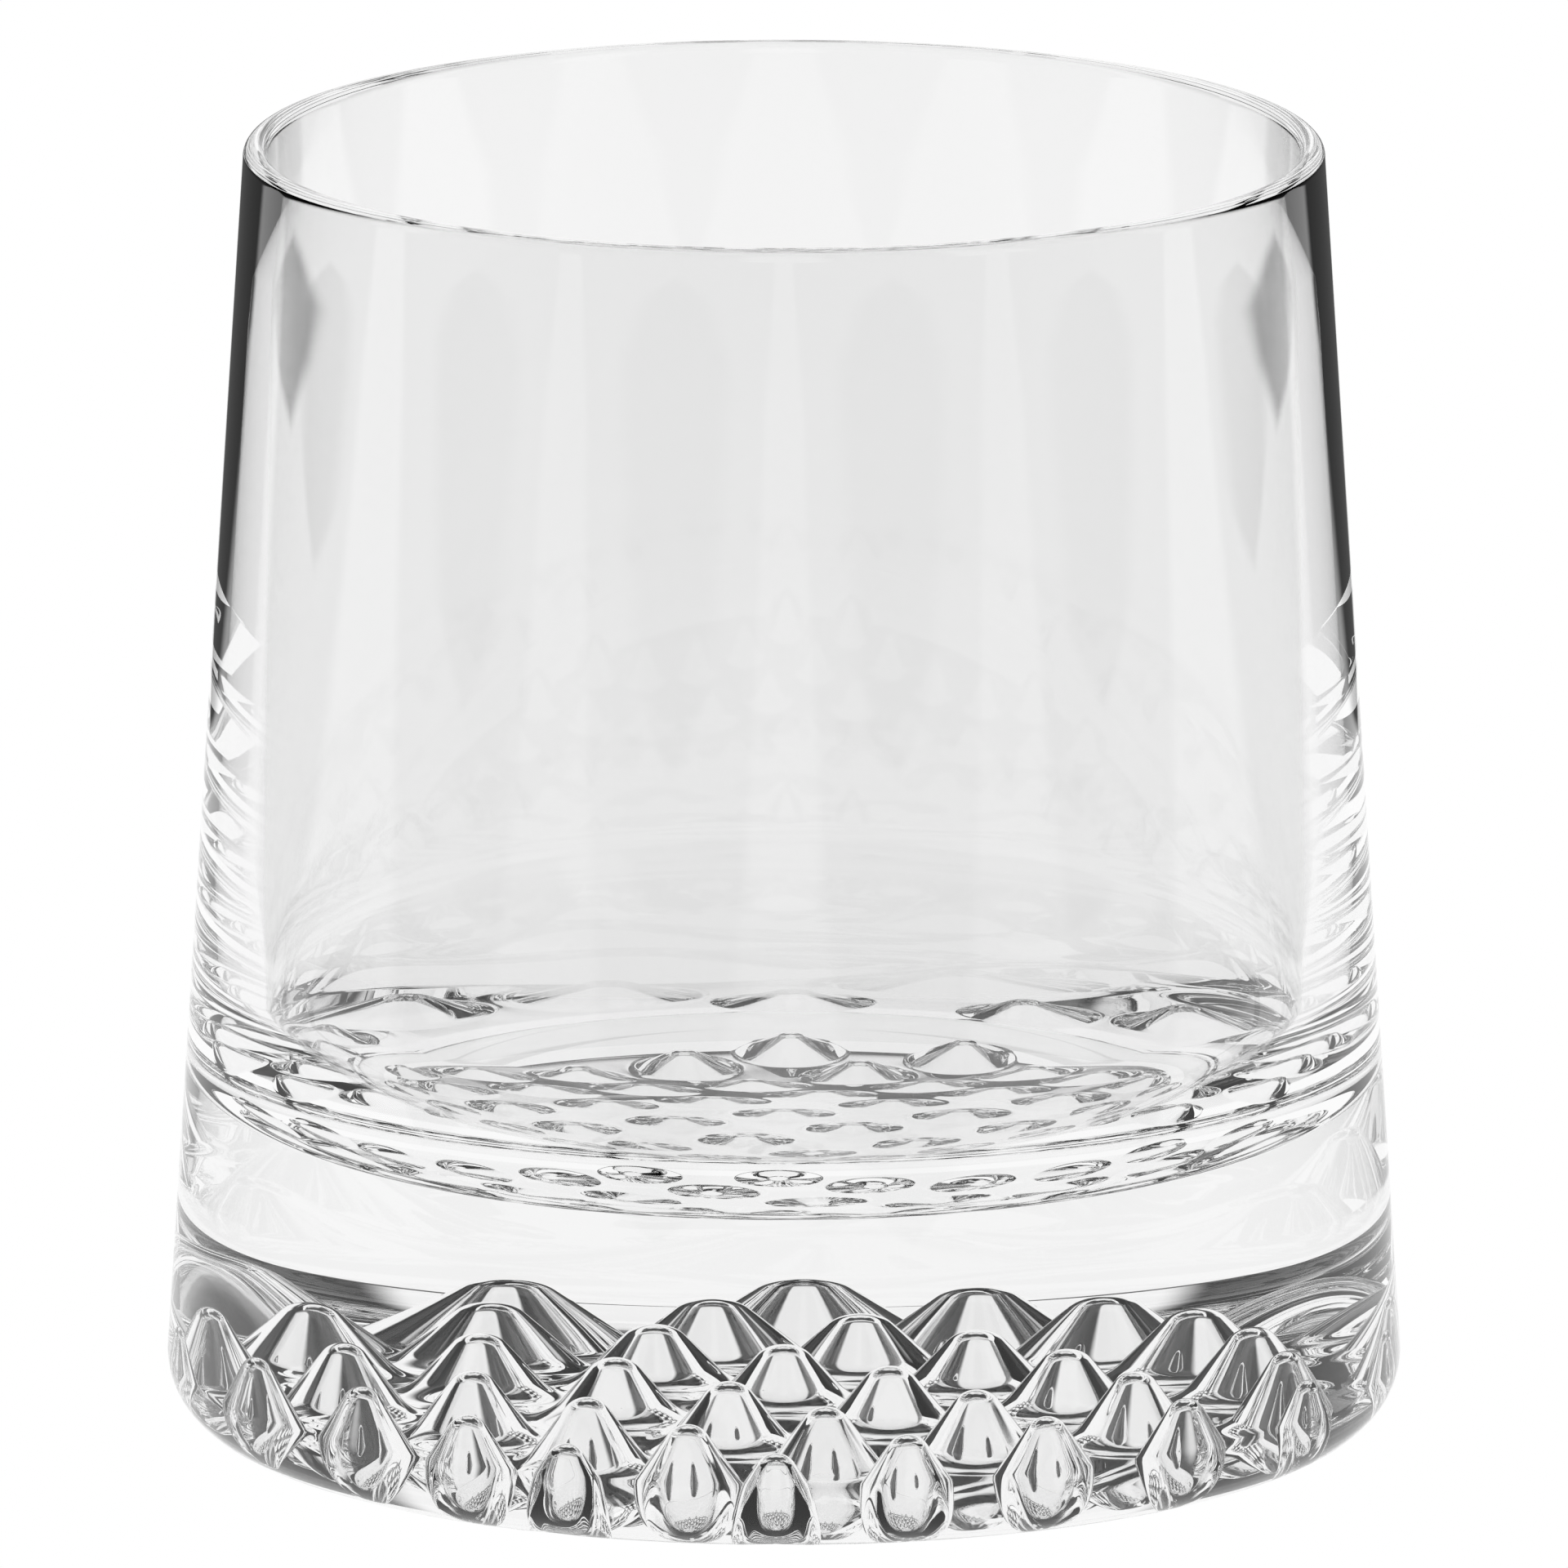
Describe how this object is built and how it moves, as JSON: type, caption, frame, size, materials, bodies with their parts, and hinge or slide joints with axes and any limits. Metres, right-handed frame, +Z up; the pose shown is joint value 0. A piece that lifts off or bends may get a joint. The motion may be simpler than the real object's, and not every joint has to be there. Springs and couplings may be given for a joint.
{
  "type": "whiskey tumbler",
  "caption": "Clear glass whiskey tumbler: thin tapered bowl with a rounded lip on a thick solid base whose domed underside is pressed with a grid of 45 deep dimples with rounded tips.",
  "frame": {"origin": "on the glass's axis, in the plane of the ring that it stands on", "axes": "+Z up the axis towards the lip; +Y away from a viewer at the front, +X to the viewer's right"},
  "size_m": [0.0854, 0.0854, 0.09],
  "materials": {
    "clear_glass": "fire-polished clear"
  },
  "bodies": {
    "root": {"bowl": "clear_glass", "base": "clear_glass"}
  },
  "joints": []
}
